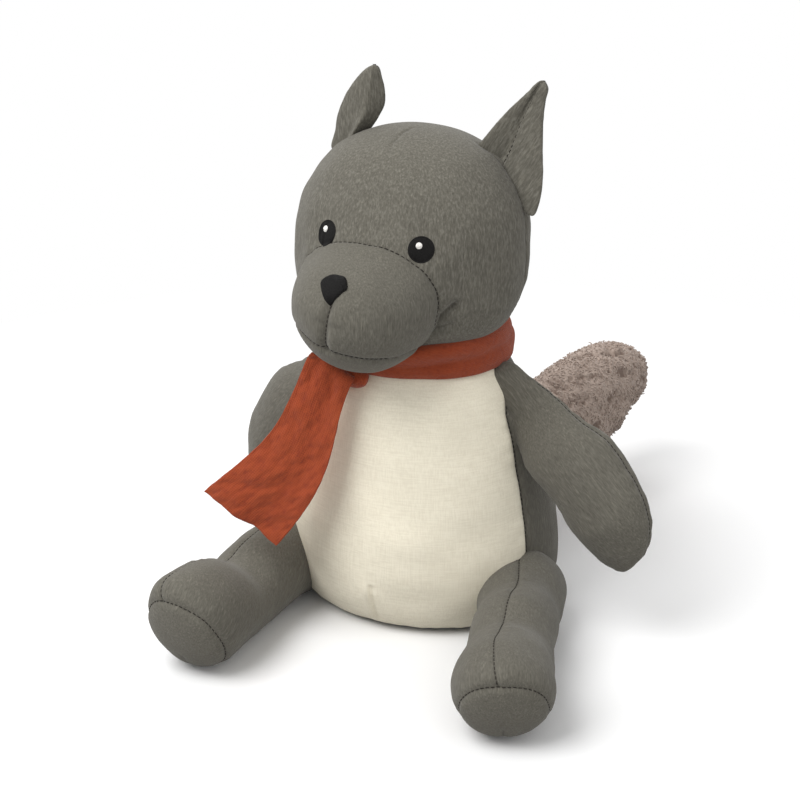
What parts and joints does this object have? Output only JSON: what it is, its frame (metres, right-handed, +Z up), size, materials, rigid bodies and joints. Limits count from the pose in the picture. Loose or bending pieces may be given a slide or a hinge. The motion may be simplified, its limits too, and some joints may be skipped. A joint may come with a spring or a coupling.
{
  "type": "plush wolf",
  "caption": "Sitting plush wolf with an upright head, round muzzle, pointed ears, flat arms, stuffed legs, fur tail and a knotted scarf.",
  "frame": {"origin": "middle of the flat seat that the wolf sits on, on the floor", "axes": "+Z up; the wolf faces -Y; +X is the wolf's own left"},
  "size_m": [0.2029, 0.306, 0.2383],
  "materials": {
    "grey_cloth": "warm grey slubbed cotton cloth with short loose fibres",
    "cream_cloth": "cream linen cloth with a plain weave",
    "scarf_cloth": "rust orange crinkled gauze",
    "tail_fur": "short curly taupe fur",
    "black_thread": "black satin-stitch embroidery",
    "white_thread": "white embroidery thread",
    "filling": "white polyester fibre filling",
    "pellets": "plastic pellets in a thin cloth bag"
  },
  "bodies": {
    "torso": {"seat_panel": "grey_cloth", "belly_panel": "cream_cloth", "back_panel_left": "grey_cloth", "back_panel_right": "grey_cloth", "pellet_bag": "pellets", "body_stuffing": "filling", "scarf_neck_band": "scarf_cloth", "scarf_knot": "scarf_cloth"},
    "neck": {"neck_stuffing": "filling"},
    "head": {"muzzle_panel": "grey_cloth", "chin_panel": "grey_cloth", "face_panel": "grey_cloth", "head_back_panel": "grey_cloth", "head_stuffing": "filling", "eye_left": "black_thread", "eye_glint_left": "white_thread", "eye_right": "black_thread", "eye_glint_right": "white_thread", "nose": "black_thread"},
    "scarf_ends": {"scarf_end_front": "scarf_cloth", "scarf_end_under": "scarf_cloth"},
    "tail": {"tail_fur_cover": "tail_fur", "tail_stuffing": "filling"},
    "ear_left": {"ear_left_outer": "grey_cloth", "ear_left_inner": "grey_cloth"},
    "arm_left": {"arm_left_front_panel": "grey_cloth", "arm_left_back_panel": "grey_cloth", "arm_left_stuffing": "filling"},
    "leg_left": {"leg_left_inner_panel": "grey_cloth", "leg_left_outer_panel": "grey_cloth", "leg_left_sole": "grey_cloth", "leg_left_stuffing": "filling"},
    "ear_right": {"ear_right_outer": "grey_cloth", "ear_right_inner": "grey_cloth"},
    "arm_right": {"arm_right_front_panel": "grey_cloth", "arm_right_back_panel": "grey_cloth", "arm_right_stuffing": "filling"},
    "leg_right": {"leg_right_inner_panel": "grey_cloth", "leg_right_outer_panel": "grey_cloth", "leg_right_sole": "grey_cloth", "leg_right_stuffing": "filling"}
  },
  "joints": [
    {"name": "head_nod", "type": "hinge", "parent": "torso", "child": "neck", "pos_m": [0, -0.009, 0.124], "axis": [1, 0, 0], "range_deg": [-8, 2], "stiffness_Nm_per_rad": 0.6},
    {"name": "head_turn", "type": "hinge", "parent": "neck", "child": "head", "pos_m": [0, -0.009, 0.124], "axis": [0, 0, 1], "range_deg": [-20, 20], "stiffness_Nm_per_rad": 0.15},
    {"name": "ear_left_flop", "type": "hinge", "parent": "head", "child": "ear_left", "pos_m": [0.04137, -0.009, 0.194], "axis": [0.717, 0, -0.6971], "range_deg": [-25, 25], "stiffness_Nm_per_rad": 0.01},
    {"name": "ear_right_flop", "type": "hinge", "parent": "head", "child": "ear_right", "pos_m": [-0.03165, -0.009, 0.2025], "axis": [0.8679, 0, 0.4967], "range_deg": [-25, 25], "stiffness_Nm_per_rad": 0.01},
    {"name": "arm_left_swing", "type": "hinge", "parent": "torso", "child": "arm_left", "pos_m": [0.0466, -0.017, 0.094], "axis": [-0.3265, 0, 0.9452], "range_deg": [-25, 60], "stiffness_Nm_per_rad": 0.04},
    {"name": "arm_right_swing", "type": "hinge", "parent": "torso", "child": "arm_right", "pos_m": [-0.0466, -0.017, 0.094], "axis": [-0.3265, 0, -0.9452], "range_deg": [-67, 18], "stiffness_Nm_per_rad": 0.04},
    {"name": "leg_left_spread", "type": "hinge", "parent": "torso", "child": "leg_left", "pos_m": [0.043, -0.014, 0.0205], "axis": [0, 0, 1], "range_deg": [-30, 12], "stiffness_Nm_per_rad": 0.08},
    {"name": "leg_right_spread", "type": "hinge", "parent": "torso", "child": "leg_right", "pos_m": [-0.043, -0.014, 0.0205], "axis": [0, 0, -1], "range_deg": [-8, 34], "stiffness_Nm_per_rad": 0.08},
    {"name": "tail_wag", "type": "hinge", "parent": "torso", "child": "tail", "pos_m": [0, 0.05253, 0.03], "axis": [0, 0, 1], "range_deg": [-30, 30], "stiffness_Nm_per_rad": 0.08},
    {"name": "scarf_ends_lift", "type": "hinge", "parent": "torso", "child": "scarf_ends", "pos_m": [-0.01293, -0.05577, 0.115], "axis": [-0.8295, -0.1763, 0.5299], "range_deg": [0, 40], "stiffness_Nm_per_rad": 0.004}
  ]
}
